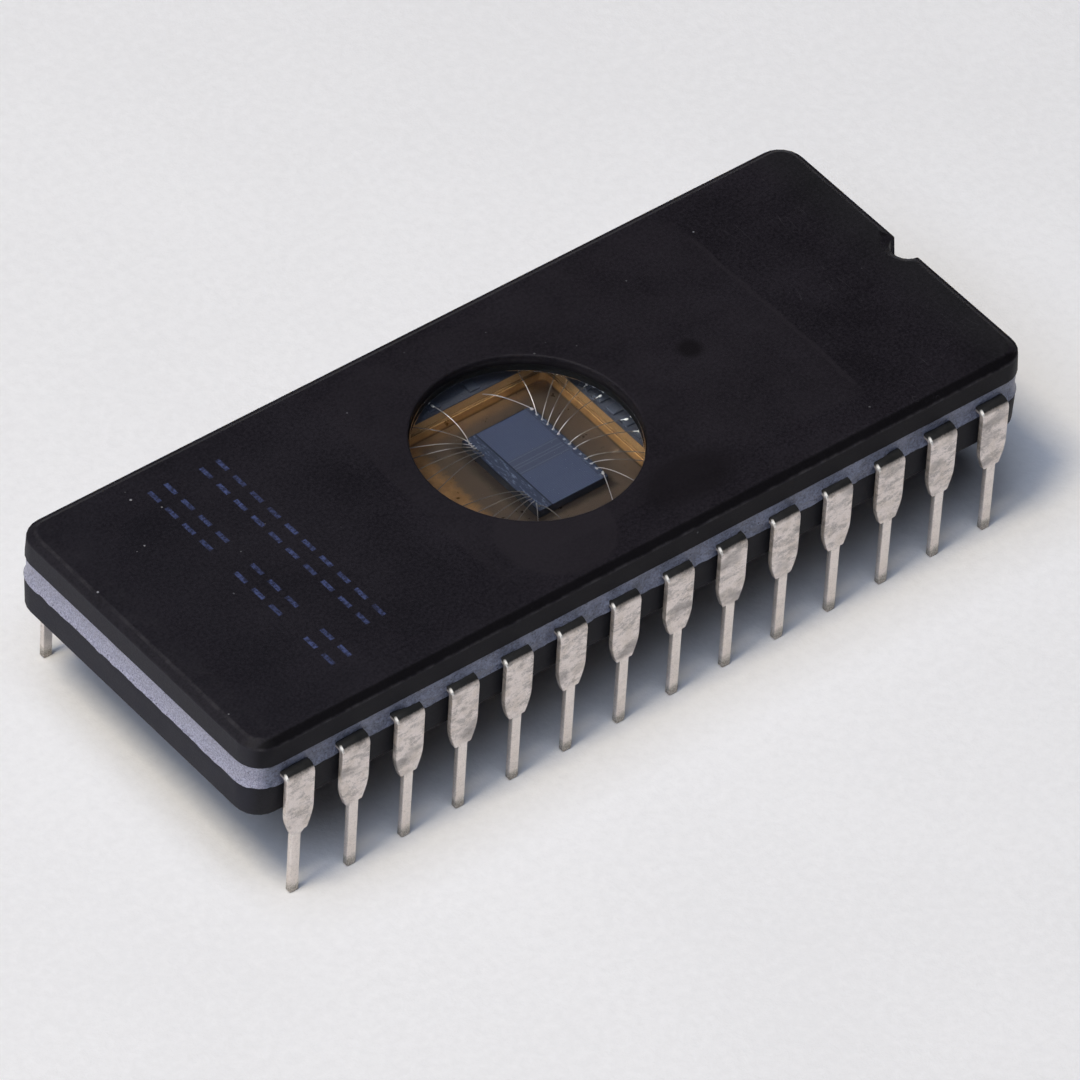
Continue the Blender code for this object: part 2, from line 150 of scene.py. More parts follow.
capFinish = {
    "dark": (0.0068, 0.0057, 0.0080),
    "light": (0.0212, 0.0184, 0.0238),
    "side": (0.0068, 0.0060, 0.0082),
    "sideBelow": (7.62, 7.78),
    "end": (0.036, 0.035, 0.043),           # painted light: the end faces are lightened, standing for the lamp light they catch
    "litEndFrom": (17.9, 18.3),
    "litEndBelow": (7.70, 7.80),
    "bevelHeights": (7.770, 7.960),         # the sloping edge lies between the side and the face
    "lowerEdge": (7.69, 7.78),              # where the bevel meets the side: rubbed, and lightened as a painted highlight
    "upperEdge": (7.92, 7.985),             # where it meets the face
    "faceHeights": (7.96, 7.98),            # above these the face itself begins
    "leftSheen": (0.0165, 0.0165, 0.0225),       # painted sheen: towards the left end the face is greyer
    "leftSheenRun": (-17.0, 4.0),
    "brow": (0.0185, 0.0200, 0.0195),       # towards the notch end it is a little greener
    "browRun": (15.6, 18.2),
    "residue": (0.0225, 0.0195, 0.0240),    # what an old label left behind
    "residueX": (-5.6, 11.9),
    "residueY": (-5.3, 6.4),
    "rimX": (11.75, 11.95),                 # its right edge shows as a thin line
    "rimY": (-4.6, 5.0),
    "lobe": (-2.3, -4.6),                   # a rounded end of it, in front of the window
    "lobeReach": (2.15, 2.45),
    "clean": (0.0080, 0.0066, 0.0084),      # a swath wiped bare beside the window
    "swath": (1.9, -5.2),
    "swathReach": (0.7, 1.5),
    # rubbed edges, partly a painted highlight on the bevel's edges
    "edge": (0.060, 0.057, 0.062),
    "bevel": (0.0026, 0.0022, 0.0030),      # painted shade: along the front the bevel is darkened, standing for the dark room it mirrors
    "bevelShadeFront": (-7.0, -6.85),
    "farX": (18.05, 18.2),                  # the bevels away from the camera are matt
    "farY": (6.95, 7.1),
    "scratch": (0.055, 0.052, 0.058),
    "scratchFrom": (12.0, 13.5),
    "ink": (0.075, 0.098, 0.230),
    # each row of faded print: middle X, start Y, how many marks, and which are left out
    "inkRows": ((-10.53, 5.95, 10, ()), (-12.85, 6.05, 11, (4, 8))),
    "inkPitch": 1.05,
    "inkReach": (0.28, 0.47),               # a mark is a pair of strokes this far from the middle
    "fleck": (0.30, 0.30, 0.32),
    "stains": ((7.95, 0.23, 0.70), (17.97, 0.95, 0.22)),       # place and reach of each dark spot
    # place and reach of each light fleck
    "flecks": ((-14.04, 5.92, 0.070), (-13.34, 4.94, 0.050), (-15.09, 3.69, 0.055),
               (-15.5, 3.6, 0.035), (-17.95, 2.74, 0.065), (-18.02, 3.35, 0.035),
               (-17.9, -5.1, 0.045), (12.13, 5.18, 0.050)),
}


def capCeramic():
    look = capFinish
    material, tree, shader = newMaterial("capCeramic", 0.52, specular=0.10)
    where = places(tree)
    x, y, z = axesOf(tree, where)[:3]
    cloud = grain(tree, where, 0.35, 4.0)
    fine = grain(tree, where, 7.5, 4.0, 0.85)
    mottle = calc(tree, "ADD", product(tree, cloud, 0.32), product(tree, fine, 0.85))
    color = blend(tree, remap(tree, mottle, 0.40, 0.78), look["dark"], look["light"])
    color = blend(tree, remap(tree, z, *look["sideBelow"], 0.85, 0.0), color, look["side"])
    # painted light: the end faces are lightened below the bevel
    paintedLitEnds = remap(tree, calc(tree, "ABSOLUTE", x), *look["litEndFrom"])
    paintedLitEnds = product(tree, paintedLitEnds, remap(tree, z, *look["litEndBelow"], 0.9, 0.0))
    color = blend(tree, paintedLitEnds, color, look["end"])
    # painted sheen: the face greys towards the left end
    paintedSheen = product(tree, remap(tree, x, *look["leftSheenRun"], 0.35, 0.0),
                   remap(tree, fine, 0.3, 0.7, 0.6, 1.0))
    color = blend(tree, paintedSheen, color, look["leftSheen"])
    onFace = remap(tree, z, *look["faceHeights"])
    brow = product(tree, remap(tree, x, *look["browRun"], 0.0, 0.4), onFace)
    color = blend(tree, brow, color, look["brow"])
    wander = product(tree, calc(tree, "SUBTRACT", grain(tree, where, 0.28, 2.0), 0.5), 2.2)
    wanderX = calc(tree, "ADD", x, product(tree, wander, 0.25))
    wanderY = calc(tree, "ADD", y, wander)
    patch = product(tree, between(tree, wanderX, *look["residueX"], 0.10),
                    between(tree, wanderY, *look["residueY"], 0.18),
                    remap(tree, grain(tree, where, 0.5, 3.0), 0.25, 0.6))
    color = blend(tree, product(tree, patch, 0.35), color, look["residue"])
    rim = product(tree, between(tree, wanderX, *look["rimX"], 0.06),
                  between(tree, wanderY, *look["rimY"], 0.3))
    color = blend(tree, product(tree, rim, 0.5), color, look["residue"])
    lobe = nearBy(tree, where, (*look["lobe"], capHigh.z), *look["lobeReach"])
    color = blend(tree, product(tree, lobe, 0.55), color, look["residue"])
    drawnOut = addNode(tree, "Mapping", {"Vector": where, "Scale": (0.55, 1.0, 1.0)}).outputs["Vector"]
    swath = nearBy(tree, drawnOut, (*look["swath"], capHigh.z), *look["swathReach"])
    color = blend(tree, product(tree, swath, 0.7), color, look["clean"])
    # painted shade: the front bevel darkened, standing for the dark room it mirrors
    bevelShadeFront = remap(tree, y, *look["bevelShadeFront"], 1.0, 0.0)
    bevel = product(tree, between(tree, z, *look["bevelHeights"], 0.025), bevelShadeFront, 0.9)
    color = blend(tree, bevel, color, look["bevel"])
    # rubbed edges with a painted highlight: the bevel's lower edge most along the front, its upper edge
    # at the left end
    low = product(tree, between(tree, z, *look["lowerEdge"], 0.03),
                  remap(tree, y, -7.0, -6.8, 0.8, 0.35))
    high = product(tree, between(tree, z, *look["upperEdge"], 0.015),
                   remap(tree, x, -17.3, -16.9, 0.5, 0.06))
    wear = product(tree, calc(tree, "MAXIMUM", low, high),
                   remap(tree, grain(tree, where, 1.6, 4.0, 0.7), 0.36, 0.72))
    color = blend(tree, product(tree, wear, 0.75), color, look["edge"])
    lines = grain(tree, places(tree, (1.0, 0.07, 1.0)), 1.9, 1.0)
    nicks = product(tree, between(tree, lines, 0.498, 0.502, 0.0015),
                    remap(tree, x, *look["scratchFrom"], 0.0, 0.5),
                    remap(tree, grain(tree, where, 0.7), 0.48, 0.6))
    color = blend(tree, nicks, color, look["scratch"])
    worn = remap(tree, grain(tree, where, 6.5, 3.0, 0.65), 0.38, 0.62, 0.25, 1.0)
    worn = product(tree, worn, remap(tree, grain(tree, where, 0.9, 2.0), 0.35, 0.65, 0.6, 1.0))
    for middle, start, marks, gaps in look["inkRows"]:
        along = calc(tree, "DIVIDE", calc(tree, "SUBTRACT", start, y), look["inkPitch"])
        inside = between(tree, calc(tree, "FRACT", along), 0.18, 0.80, 0.03)
        rows = between(tree, along, 0.0, float(marks), 0.01)
        apart = calc(tree, "ABSOLUTE", calc(tree, "SUBTRACT", x, middle))
        mark = product(tree, inside, rows, between(tree, apart, *look["inkReach"], 0.025))
        for gap in gaps:
            away = calc(tree, "SUBTRACT", 1.0, between(tree, along, float(gap), gap + 1.0, 0.01))
            mark = product(tree, mark, away)
        mark = product(tree, mark, worn, onFace, 0.85)
        color = blend(tree, mark, color, look["ink"])
    for spotX, spotY, reach in look["flecks"]:
        speck = nearBy(tree, where, (spotX, spotY, capHigh.z), 0.3 * reach, reach)
        color = blend(tree, product(tree, speck, 14.0 * reach), color, look["fleck"])
    for spotX, spotY, reach in look["stains"]:
        stain = nearBy(tree, where, (spotX, spotY, capHigh.z), 0.35 * reach, reach)
        color = blend(tree, stain, color, look["clean"])
    dust = cells(tree, where, 1.3)
    rare = remap(tree, axesOf(tree, dust["Color"])[0], 0.80, 0.82)
    dots = product(tree, rare, remap(tree, dust["Distance"], 0.035, 0.07, 1.0, 0.0), 0.25)
    color = blend(tree, dots, color, look["fleck"])
    tree.links.new(color, shader.inputs["Base Color"])
    far = calc(tree, "MAXIMUM", remap(tree, x, *look["farX"]), remap(tree, y, *look["farY"]))
    rough = calc(tree, "MAXIMUM", remap(tree, mottle, 0.3, 0.9, 0.46, 0.62), product(tree, far, 0.95))
    tree.links.new(rough, shader.inputs["Roughness"])
    relief(tree, shader, calc(tree, "ADD", fine, product(tree, grain(tree, where, 28.0), 0.5)), 0.009)
    return material


baseFinish = {
    "dark": (0.0125, 0.0122, 0.0150),
    "light": (0.026, 0.0255, 0.030),
    # painted light: the end faces are lightened, standing for the lamp light they catch
    "end": (0.027, 0.027, 0.037),
    "litEndFrom": (17.9, 18.3),
    "edge": (0.05, 0.05, 0.055),
    "edgeHeights": (5.78, 5.86),      # the rubbed upper edge
    "gold": (0.19, 0.108, 0.050),     # round the cavity's mouth
    "goldReach": 4.6,
    "goldHeights": (5.2, 5.3),
}


def baseCeramic():
    look = baseFinish
    material, tree, shader = newMaterial("baseCeramic", 0.6, specular=0.10)
    where = places(tree)
    x, y, z = axesOf(tree, where)[:3]
    cloud = grain(tree, where, 0.7, 4.0)
    fine = grain(tree, where, 11.0, 4.0, 0.7)
    mottle = calc(tree, "ADD", product(tree, cloud, 0.5), product(tree, fine, 0.6))
    color = blend(tree, remap(tree, mottle, 0.35, 0.8), look["dark"], look["light"])
    # painted light: the end faces are lightened
    paintedLitEnds = remap(tree, calc(tree, "ABSOLUTE", x), *look["litEndFrom"], 0.0, 0.8)
    color = blend(tree, paintedLitEnds, color, look["end"])
    wear = product(tree, between(tree, z, *look["edgeHeights"], 0.03),
                   remap(tree, grain(tree, where, 2.2), 0.4, 0.7))
    color = blend(tree, wear, color, look["edge"])
    away = calc(tree, "MAXIMUM", calc(tree, "ABSOLUTE", x), calc(tree, "ABSOLUTE", y))
    mouth = product(tree, remap(tree, away, look["goldReach"], look["goldReach"] + 0.1, 1.0, 0.0),
                    remap(tree, z, *look["goldHeights"]))
    color = blend(tree, mouth, color, look["gold"])
    tree.links.new(color, shader.inputs["Base Color"])
    tree.links.new(remap(tree, mottle, 0.3, 0.9, 0.5, 0.7), shader.inputs["Roughness"])
    relief(tree, shader, fine, 0.012)
    return material


fritFinish = {
    "dark": (0.068, 0.077, 0.118),
    "light": (0.235, 0.260, 0.365),
    "frostAndLitEnd": ((0.22, 0.22, 0.30), (0.54, 0.54, 0.68)),      # the pale, pitted skin on the end faces, laid on more at the left end as painted light
    "pit": (0.03, 0.033, 0.050),
    "ledge": (0.040, 0.044, 0.062),   # inside, round the cavity
    "ledgeReach": 5.2,
    "gold": (0.44, 0.26, 0.115),      # the lining's gold has crept up the cavity's wall
    "goldTop": 6.27,
    "goldReach": 4.45,
}


def sealingGlass():
    look = fritFinish
    material, tree, shader = newMaterial("fritGlass", 0.34, specular=0.5)
    where = places(tree)
    x, y, z = axesOf(tree, where)[:3]
    cloud = grain(tree, where, 1.1, 4.0, 0.65)
    fine = grain(tree, where, 10.0, 4.0, 0.8)
    mottle = calc(tree, "ADD", product(tree, cloud, 0.40), product(tree, fine, 0.70))
    color = blend(tree, remap(tree, mottle, 0.40, 0.72), look["dark"], look["light"])
    # the frost goes on the end faces, more at the left end as painted light
    ends = remap(tree, calc(tree, "ABSOLUTE", x), 17.6, 18.1)
    ends = product(tree, ends, remap(tree, x, -1.0, 1.0, 0.85, 0.45))
    speckle = grain(tree, where, 14.0, 3.0, 0.9)
    color = blend(tree, ends, color, blend(tree, remap(tree, speckle, 0.38, 0.62), *look["frostAndLitEnd"]))
    bubbles = cells(tree, where, 5.5)
    rare = remap(tree, axesOf(tree, bubbles["Color"])[0], 0.62, 0.66)
    pits = product(tree, rare, remap(tree, bubbles["Distance"], 0.10, 0.24, 1.0, 0.0))
    color = blend(tree, product(tree, pits, 0.7), color, look["pit"])
    away = calc(tree, "MAXIMUM", calc(tree, "ABSOLUTE", x), calc(tree, "ABSOLUTE", y))
    reach = look["ledgeReach"]
    color = blend(tree, remap(tree, away, reach, reach + 0.1, 1.0, 0.0), color, look["ledge"])
    crept = product(tree, remap(tree, away, look["goldReach"], look["goldReach"] + 0.05, 1.0, 0.0),
                    remap(tree, z, look["goldTop"] - 0.03, look["goldTop"], 1.0, 0.0))
    crept = product(tree, crept, remap(tree, cloud, 0.3, 0.7, 0.75, 1.0))
    color = blend(tree, crept, color, look["gold"])
    tree.links.new(color, shader.inputs["Base Color"])
    tree.links.new(remap(tree, fine, 0.3, 0.7, 0.26, 0.5), shader.inputs["Roughness"])
    height = calc(tree, "SUBTRACT", calc(tree, "ADD", fine, product(tree, cloud, 1.5)), pits)
    relief(tree, shader, height, 0.03)
    return material


tinFinish = {
    "bright": (0.79, 0.715, 0.675),
    "warm": (0.68, 0.605, 0.550),
    "stem": (0.86, 0.79, 0.74),
    "stemHeights": (3.2, 3.5),
    "smudge": (0.22, 0.205, 0.20),
    "glint": (1.0, 0.98, 0.95),        # painted highlight on the left corner of each bend, where the lamp catches it
    "glintHeights": (6.10, 6.22),
    "glintReach": (7.45, 7.6),
    "glintShare": (0.245, 0.285),      # of each pitch
    "dirt": (0.20, 0.19, 0.16),
    "tipHeights": (0.45, 0.95),
    "bend": (0.011, 0.0125, 0.014),    # painted shade: the top of the bend is darkened, standing for the dark room it mirrors
    "bendHeights": (6.22, 6.31),
    "inner": (0.055, 0.062, 0.085),    # lead frame under the window
    "innerReach": (6.2, 6.9),
}


def tinnedLead():
    look = tinFinish
    material, tree, shader = newMaterial("tinnedLead", 0.36, metallic=0.7, specular=0.12)
    where = places(tree)
    x, y, z = axesOf(tree, where)[:3]
    streaks = places(tree, (0.55, 0.55, 1.0))
    fine = grain(tree, where, 16.0, 3.0, 0.7)
    color = blend(tree, remap(tree, grain(tree, where, 1.9, 4.0, 0.6), 0.40, 0.68),
                  look["bright"], look["warm"])
    color = blend(tree, remap(tree, z, *look["stemHeights"], 0.7, 0.0), color, look["stem"])
    color = blend(tree, product(tree, remap(tree, fine, 0.50, 0.70), 0.30), color, look["smudge"])
    band = remap(tree, grain(tree, streaks, 1.0, 3.0, 0.5), 0.53, 0.70)
    band = product(tree, band, remap(tree, z, 2.8, 3.6), 0.60)
    color = blend(tree, band, color, look["smudge"])
    patch = remap(tree, grain(tree, places(tree, (0.85, 0.85, 1.5)), 2.2, 5.0, 0.7), 0.46, 0.64)
    patch = product(tree, patch, remap(tree, z, 2.9, 3.9, 0.25, 1.0),
                    remap(tree, fine, 0.25, 0.6, 0.5, 1.0))
    color = blend(tree, product(tree, patch, 0.62), color, look["smudge"])
    blot = remap(tree, grain(tree, where, 3.4, 3.0), 0.64, 0.74)
    blot = product(tree, blot, remap(tree, z, 2.9, 3.5), 0.35)
    color = blend(tree, blot, color, look["dirt"])
    ragged = calc(tree, "ADD", z, product(tree, grain(tree, where, 3.0), 0.5))
    tips = product(tree, remap(tree, ragged, *look["tipHeights"], 1.0, 0.0),
                   remap(tree, fine, 0.3, 0.6, 0.35, 0.85))
    color = blend(tree, tips, color, look["dirt"])
    # painted shade on top of the bend, where the metal is also made duller
    bend = remap(tree, calc(tree, "ADD", z, product(tree, fine, 0.05)), *look["bendHeights"])
    color = blend(tree, product(tree, bend, 0.98), color, look["bend"])
    # painted highlight at each bend's left corner
    pitches = calc(tree, "DIVIDE", calc(tree, "ADD", x, 14 * leadPitch), leadPitch)
    corner = product(tree, between(tree, calc(tree, "FRACT", pitches), *look["glintShare"], 0.008),
                     remap(tree, z, *look["glintHeights"]),
                     remap(tree, calc(tree, "ABSOLUTE", y), *look["glintReach"]))
    color = blend(tree, corner, color, look["glint"])
    inside = remap(tree, calc(tree, "ABSOLUTE", y), *look["innerReach"], 1.0, 0.0)
    color = blend(tree, inside, color, look["inner"])
    tree.links.new(color, shader.inputs["Base Color"])
    tree.links.new(remap(tree, bend, 0.0, 1.0, 0.7, 0.0), shader.inputs["Metallic"])
    tree.links.new(remap(tree, fine, 0.3, 0.75, 0.28, 0.46), shader.inputs["Roughness"])
    relief(tree, shader, calc(tree, "ADD", fine, grain(tree, where, 3.5)), 0.007)
    return material


lensFinish = {"tint": (0.93, 0.95, 0.96), "roughness": 0.0, "ior": 1.47, "film": 0.02}


def windowGlass():
    look = lensFinish
    material, tree, shader = newMaterial("windowGlass", look["roughness"])
    shader.inputs["Base Color"].default_value = (*look["tint"], 1.0)
    shader.inputs["IOR"].default_value = look["ior"]
    shader.inputs["Transmission Weight"].default_value = 1.0
    where = places(tree)
    film = remap(tree, grain(tree, where, 0.8, 3.0), 0.45, 0.75, look["roughness"], look["film"])
    tree.links.new(film, shader.inputs["Roughness"])
    clear = addNode(tree, "BsdfTransparent", {"Color": (*look["tint"], 1.0)})
    path = addNode(tree, "LightPath")
    mixer = addNode(tree, "MixShader", {0: path.outputs["Is Shadow Ray"]})
    tree.links.new(shader.outputs["BSDF"], mixer.inputs[1])
    tree.links.new(clear.outputs["BSDF"], mixer.inputs[2])
    tree.links.new(mixer.outputs[0], tree.nodes["Material Output"].inputs["Surface"])
    return material


goldFinish = {
    "bright": (0.40, 0.215, 0.090),
    "dull": (0.29, 0.155, 0.066),
    # painted light: the walls are a lighter gold than the floor, standing for the lamp light they face
    "litWall": (0.62, 0.36, 0.150),
    "wallHeights": (5.45, 5.60),
    "floor": (0.105, 0.080, 0.064),       # the floor is browner, least at the left; toward the far wall it is kept lighter as a painted reflection of the wall
    "filletAndShade": (0.045, 0.034, 0.029),      # bonding metal squeezed out round the die, deepened as painted shade
    "filletShadeReach": 0.55,
}


def cavityGold():
    look = goldFinish
    material, tree, shader = newMaterial("cavityGold", 0.3, metallic=0.6)
    where = places(tree)
    x, y, z = axesOf(tree, where)[:3]
    cloud = grain(tree, where, 2.2, 4.0, 0.65)
    fine = grain(tree, where, 14.0, 3.0, 0.7)
    mottle = calc(tree, "ADD", product(tree, cloud, 0.92), product(tree, fine, 0.08))
    color = blend(tree, remap(tree, mottle, 0.35, 0.65), look["dull"], look["bright"])
    # painted light: the walls get the lighter gold
    low = remap(tree, z, *look["wallHeights"], 1.0, 0.0)
    litWall = blend(tree, remap(tree, cloud, 0.3, 0.7, 0.6, 1.0), color, look["litWall"])
    color = blend(tree, low, litWall, color)
    # browner floor, kept lighter toward the far wall as a painted reflection of the wall
    brown = product(tree, remap(tree, calc(tree, "ADD", x, cloud), -2.0, -1.5, 0.2, 0.95),
                    remap(tree, y, 3.3, 3.8, 1.0, 0.6))
    color = blend(tree, product(tree, low, brown), color, look["floor"])
    middle, half = (dieLow + dieHigh) / 2, (dieHigh - dieLow) / 2
    outX = calc(tree, "SUBTRACT", calc(tree, "ABSOLUTE", calc(tree, "SUBTRACT", x, middle.x)), half.x)
    outY = calc(tree, "SUBTRACT", calc(tree, "ABSOLUTE", calc(tree, "SUBTRACT", y, middle.y)), half.y)
    away = calc(tree, "ADD", calc(tree, "MAXIMUM", outX, outY), product(tree, cloud, 0.25))
    reach = remap(tree, x, -1.2, -0.8, look["filletShadeReach"] + 0.2, look["filletShadeReach"])
    # bonding metal round the die, deepened as painted shade
    near = product(tree, remap(tree, away, 0.25, reach, 1.0, 0.0), low,
                   remap(tree, y, 2.7, 3.0, 0.9, 0.5))
    color = blend(tree, near, color, look["filletAndShade"])
    tree.links.new(color, shader.inputs["Base Color"])
    tree.links.new(remap(tree, mottle, 0.3, 0.7, 0.27, 0.37), shader.inputs["Roughness"])
    relief(tree, shader, cloud, 0.004)
    return material


dieFinish = {
    "array": (0.041, 0.050, 0.088),
    "arrayLine": (0.031, 0.040, 0.073),
    "band": (0.035, 0.042, 0.071),
    "bandLine": (0.058, 0.064, 0.092),
    "logic": (0.018, 0.024, 0.046),
    "logicBright": (0.095, 0.110, 0.155),
    "gap": (0.005, 0.007, 0.016),
    "side": (0.02, 0.022, 0.03),
    "pad": (0.24, 0.25, 0.28),
    "padPitch": 0.327,
    "padStart": 0.037,             # from the near corner to where the first step begins
    "padInset": (0.07, 0.17),
    "padStrip": 0.30,              # width of the strip that the pads stand in
    "logicEdge": -0.27,            # the narrow block of drivers ends here, along X
    "bandY": (0.0, 0.87),          # the decoders between the two halves
    "bandLines": (0.10, 0.42, 0.58, 0.92),
    "cell": 0.085,
}


def siliconDie():
    look = dieFinish
    material, tree, shader = newMaterial("siliconDie", 0.5, specular=0.3)
    where = places(tree)
    x, y, z = axesOf(tree, where)[:3]
    rows = between(tree, calc(tree, "FRACT", calc(tree, "DIVIDE", x, look["cell"])), 0.25, 0.75, 0.2)
    color = blend(tree, product(tree, rows, 0.7), look["array"], look["arrayLine"])
    low, high = look["bandY"]
    color = blend(tree, between(tree, y, low, high, 0.02), color, look["band"])
    for share in look["bandLines"]:
        line = low + (high - low) * share
        color = blend(tree, between(tree, y, line - 0.02, line + 0.02, 0.012), color, look["bandLine"])
    edge = look["logicEdge"]
    streaks = grain(tree, places(tree, (2.6, 0.7, 1.0)), 4.5, 4.0, 0.75)
    logic = blend(tree, remap(tree, streaks, 0.50, 0.68), look["logic"], look["logicBright"])
    left = remap(tree, x, edge - 0.01, edge + 0.01, 1.0, 0.0)
    right = remap(tree, x, dieHigh.x - look["padStrip"], dieHigh.x - look["padStrip"] + 0.02)
    color = blend(tree, calc(tree, "MAXIMUM", left, product(tree, right, 0.85)), color, logic)
    color = blend(tree, between(tree, x, edge, edge + 0.07, 0.012), color, look["gap"])
    rim = calc(tree, "MINIMUM", calc(tree, "SUBTRACT", x, dieLow.x),
               calc(tree, "SUBTRACT", dieHigh.y, y))
    color = blend(tree, remap(tree, rim, 0.03, 0.06, 0.8, 0.0), color, look["gap"])
    inset = calc(tree, "SUBTRACT", dieHigh.x, x)
    fromCorner = calc(tree, "SUBTRACT", y, dieLow.y + look["padStart"])
    steps = calc(tree, "FRACT", calc(tree, "DIVIDE", fromCorner, look["padPitch"]))
    pads = product(tree, between(tree, inset, *look["padInset"], 0.01),
                   between(tree, steps, 0.35, 0.65, 0.03))
    color = blend(tree, product(tree, pads, 0.8), color, look["pad"])
    side = remap(tree, z, dieHigh.z - 0.06, dieHigh.z - 0.03, 1.0, 0.0)
    color = blend(tree, side, color, look["side"])
    tree.links.new(color, shader.inputs["Base Color"])
    tree.links.new(remap(tree, streaks, 0.3, 0.7, 0.45, 0.55), shader.inputs["Roughness"])
    relief(tree, shader, grain(tree, where, 20.0), 0.001)
    return material


wireFinish = {
    # painted glint: the bond feet on the fingers are near white
    "footGlint": (0.96, 0.96, 0.97),
    "bright": (0.50, 0.48, 0.50),
    "dull": (0.050, 0.041, 0.034),      # painted reflection: away from its glints a wire takes the cavity's dark brown
    "rise": 0.55,                       # painted glint: a bright run from the die's edge
    "litX": (1.0, 1.5),                 # the painted glint shows where X or Y is past these
    "litY": (1.9, 2.3),
    "flash": (-2.3, 2.9, 6.1),          # painted glint: the lamp caught on the wires of the far left corner
    "fingers": (4.22, 4.28),            # where the second bonds begin, along X and Y
}


def brightWire():
    look = wireFinish
    material, tree, shader = newMaterial("bondAluminium", 0.3, specular=0.1)
    where = places(tree)
    x, y = axesOf(tree, where)[:2]
    uneven = product(tree, grain(tree, where, 1.3, 2.0), 1.1)
    middle, half = (dieLow.x + dieHigh.x) / 2, (dieHigh.x - dieLow.x) / 2
    out = calc(tree, "SUBTRACT", calc(tree, "ABSOLUTE", calc(tree, "SUBTRACT", x, middle)), half)
    # painted glint: the wire is bright near the die's edge
    rise = remap(tree, calc(tree, "ADD", out, uneven), look["rise"], look["rise"] + 0.5, 1.0, 0.0)
    lit = calc(tree, "MAXIMUM", remap(tree, x, *look["litX"]), remap(tree, y, *look["litY"]))
    rise = product(tree, rise, lit)
    # painted glint on the far left corner's wires
    flash = nearBy(tree, where, look["flash"], 0.5, 1.1)
    flash = product(tree, flash, remap(tree, uneven, 0.40, 0.62))
    rise = calc(tree, "MAXIMUM", rise, product(tree, flash, 0.9))
    fingerX, fingerY = look["fingers"]
    # painted glint: the feet on the fingers turn near white
    ends = calc(tree, "MAXIMUM", remap(tree, calc(tree, "ABSOLUTE", x), fingerX, fingerX + 0.08),
                remap(tree, calc(tree, "ABSOLUTE", y), fingerY, fingerY + 0.08))
    # painted reflection where dull, painted glint where bright
    color = blend(tree, calc(tree, "MAXIMUM", rise, 0.12), look["dull"], look["bright"])
    tree.links.new(blend(tree, ends, color, look["footGlint"]), shader.inputs["Base Color"])
    tree.links.new(product(tree, rise, 0.6), shader.inputs["Metallic"])
    relief(tree, shader, grain(tree, where, 40.0), 0.002)
    return material


rimFinish = {"dark": (0.0015, 0.0018, 0.0024), "light": (0.0045, 0.0050, 0.0062)}


def rimSeal():        # the dark fused edge of the pane
    material, tree, shader = newMaterial("rimSeal", 0.7, specular=0.1)
    where = places(tree)
    color = blend(tree, grain(tree, where, 6.0), rimFinish["dark"], rimFinish["light"])
    tree.links.new(color, shader.inputs["Base Color"])
    return material


materials = {
    "cap": capCeramic(),
    "base": baseCeramic(),
    "frit": sealingGlass(),
    "tin": tinnedLead(),
    "lens": windowGlass(),
    "gold": cavityGold(),
    "die": siliconDie(),
    "wire": brightWire(),
    "rim": rimSeal(),
}
print("materials made:", len(materials))


# Pieces

def mergedCopy(nodeName):      # a CAD node's mesh, its loose triangles joined into whole faces
    bm = bmesh.new()
    bm.from_mesh(nodes[nodeName].data)
    bmesh.ops.remove_doubles(bm, verts=bm.verts, dist=0.0005 * mm)
    bmesh.ops.dissolve_limit(bm, angle_limit=math.radians(0.5), verts=bm.verts, edges=bm.edges)
    return bm


def roundEdges(bm, edges):        # every edge sharper than so many degrees
    least = math.radians(edges["sharper"])
    sharp = [edge for edge in bm.edges if edge.is_manifold and edge.calc_face_angle() > least]
    bmesh.ops.bevel(bm, geom=sharp, offset=edges["rounding"] * mm, segments=edges["segments"],
                    profile=0.5, affect="EDGES", material=-1, clamp_overlap=True)


creaseAngle = 38       # degrees; flatter edges are shaded smooth


def addPiece(bm, name, material, replaced=()):
    mesh = bpy.data.meshes.new(name)
    for face in bm.faces:
        face.smooth = True
    bm.to_mesh(mesh)
    bm.free()
    mesh.set_sharp_from_angle(angle=math.radians(creaseAngle))
    mesh.materials.append(materials[material])
    piece = bpy.data.objects.new(name, mesh)
    bpy.context.scene.collection.objects.link(piece)
    even = piece.modifiers.new("even shading", "WEIGHTED_NORMAL")
    even.keep_sharp = True
    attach(piece, "root")
    if replaced:
        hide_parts(*replaced)
    return piece


capEdges = {"rounding": 0.07, "segments": 3, "sharper": 20}
baseEdges = {"rounding": 0.06, "segments": 2, "sharper": 20}
leadEdges = {"rounding": 0.035, "segments": 2, "sharper": 40}
insideEdges = {"rounding": 0.015, "segments": 2, "sharper": 40}


def makeHalves():
    for node, edges, name in (("ceramic_cap", capEdges, "cap"), ("ceramic_base", baseEdges, "base")):
        bm = mergedCopy(node)
        roundEdges(bm, edges)
        addPiece(bm, name + "_half", name, [node])


def makeLeads():
    for pin in leadPins:
        node = f"lead_{pin:02d}"
        bm = mergedCopy(node)
        roundEdges(bm, leadEdges)
        addPiece(bm, f"pin_{pin:02d}", "tin", [node])


